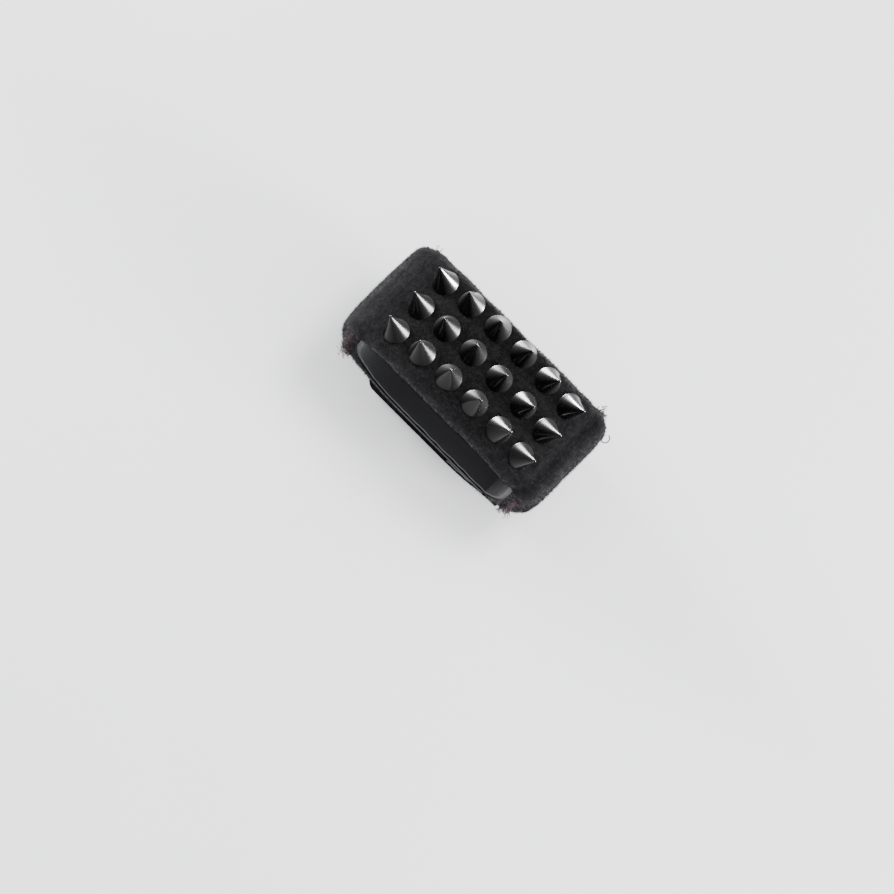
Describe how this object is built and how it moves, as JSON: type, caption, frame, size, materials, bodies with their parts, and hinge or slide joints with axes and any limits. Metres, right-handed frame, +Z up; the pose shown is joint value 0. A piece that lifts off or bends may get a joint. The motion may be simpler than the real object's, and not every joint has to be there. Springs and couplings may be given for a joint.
{
  "type": "guitar string mute wrap",
  "caption": "Padded black velour band with cone studs that closes round a guitar neck with hook and loop to mute the open strings.",
  "frame": {"origin": "middle of the flap's outer face, on the surface that the closed band stands on", "axes": "+X across the neck from the bass side to the treble side, +Y along the neck towards the headstock, +Z up, away from the fingerboard, through the studs"},
  "size_m": [0.0574, 0.025, 0.0479],
  "materials": {
    "velour": "black velour, short dense pile with a soft pale sheen where it bends",
    "lining_knit": "black brushed knit, matt",
    "foam": "dark grey open-cell foam",
    "hook_tape": "black woven nylon tape with a field of hooks",
    "webbing": "black ribbed webbing",
    "thread": "black polyester sewing thread",
    "black_stud": "glossy black plated metal",
    "screw_steel": "plain zinc-plated steel"
  },
  "bodies": {
    "pad": {"outer_cover": "velour", "lining": "lining_knit", "crown_foam": "foam", "bass_foam": "foam", "stud_a1": "black_stud", "stud_a2": "black_stud", "stud_a3": "black_stud", "stud_a4": "black_stud", "stud_a5": "black_stud", "stud_a6": "black_stud", "stud_b1": "black_stud", "stud_b2": "black_stud", "stud_b3": "black_stud", "stud_b4": "black_stud", "stud_b5": "black_stud", "stud_b6": "black_stud", "stud_c1": "black_stud", "stud_c2": "black_stud", "stud_c3": "black_stud", "stud_c4": "black_stud", "stud_c5": "black_stud", "stud_c6": "black_stud", "stud_screws": "screw_steel", "bass_shoulder_seam": "thread", "treble_shoulder_seam": "thread", "underlap_seam": "thread", "crown_edge_stitches": "thread", "bass_edge_stitches": "thread"},
    "treble_side": {"treble_cover": "velour", "treble_lining": "lining_knit", "treble_foam": "foam", "treble_edge_stitches": "thread"},
    "flap": {"flap_cover": "velour", "hook_strip": "hook_tape", "pull_tab": "webbing", "flap_edge_stitches": "thread", "hook_strip_seam": "thread", "pull_tab_seam": "thread"}
  },
  "joints": [
    {"name": "treble_side_fold", "type": "hinge", "parent": "pad", "child": "treble_side", "pos_m": [0.02524, 0, 0.03264], "axis": [0, -1, 0], "range_deg": [0, 90]},
    {"name": "flap_peel", "type": "hinge", "parent": "treble_side", "child": "flap", "pos_m": [0.00825, 0, 0], "axis": [0, -1, 0], "range_deg": [0, 110]}
  ]
}
